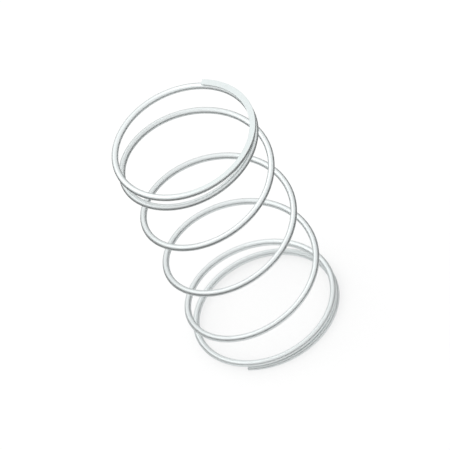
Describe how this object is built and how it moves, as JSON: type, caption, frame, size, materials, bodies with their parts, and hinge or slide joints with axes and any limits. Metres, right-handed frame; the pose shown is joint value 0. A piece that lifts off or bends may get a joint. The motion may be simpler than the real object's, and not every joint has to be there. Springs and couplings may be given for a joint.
{
  "type": "compression spring",
  "caption": "Cylindrical compression spring of round steel wire, wound right-handed, its ends closed and ground flat.",
  "frame": {"origin": "on the coil's axis, in the plane of the lower ground end that the spring stands on", "axes": "+Z along the coil's axis from the lower ground end to the upper one; the lower wire tip is on +X and the upper wire tip on -X"},
  "size_m": [0.0254, 0.0254, 0.046],
  "materials": {
    "spring_steel": "bright pale steel wire with fine drawing lines along it, and two flat ground faces with fine grinding marks"
  },
  "bodies": {
    "root": {"coil_spring": "spring_steel"}
  },
  "joints": []
}
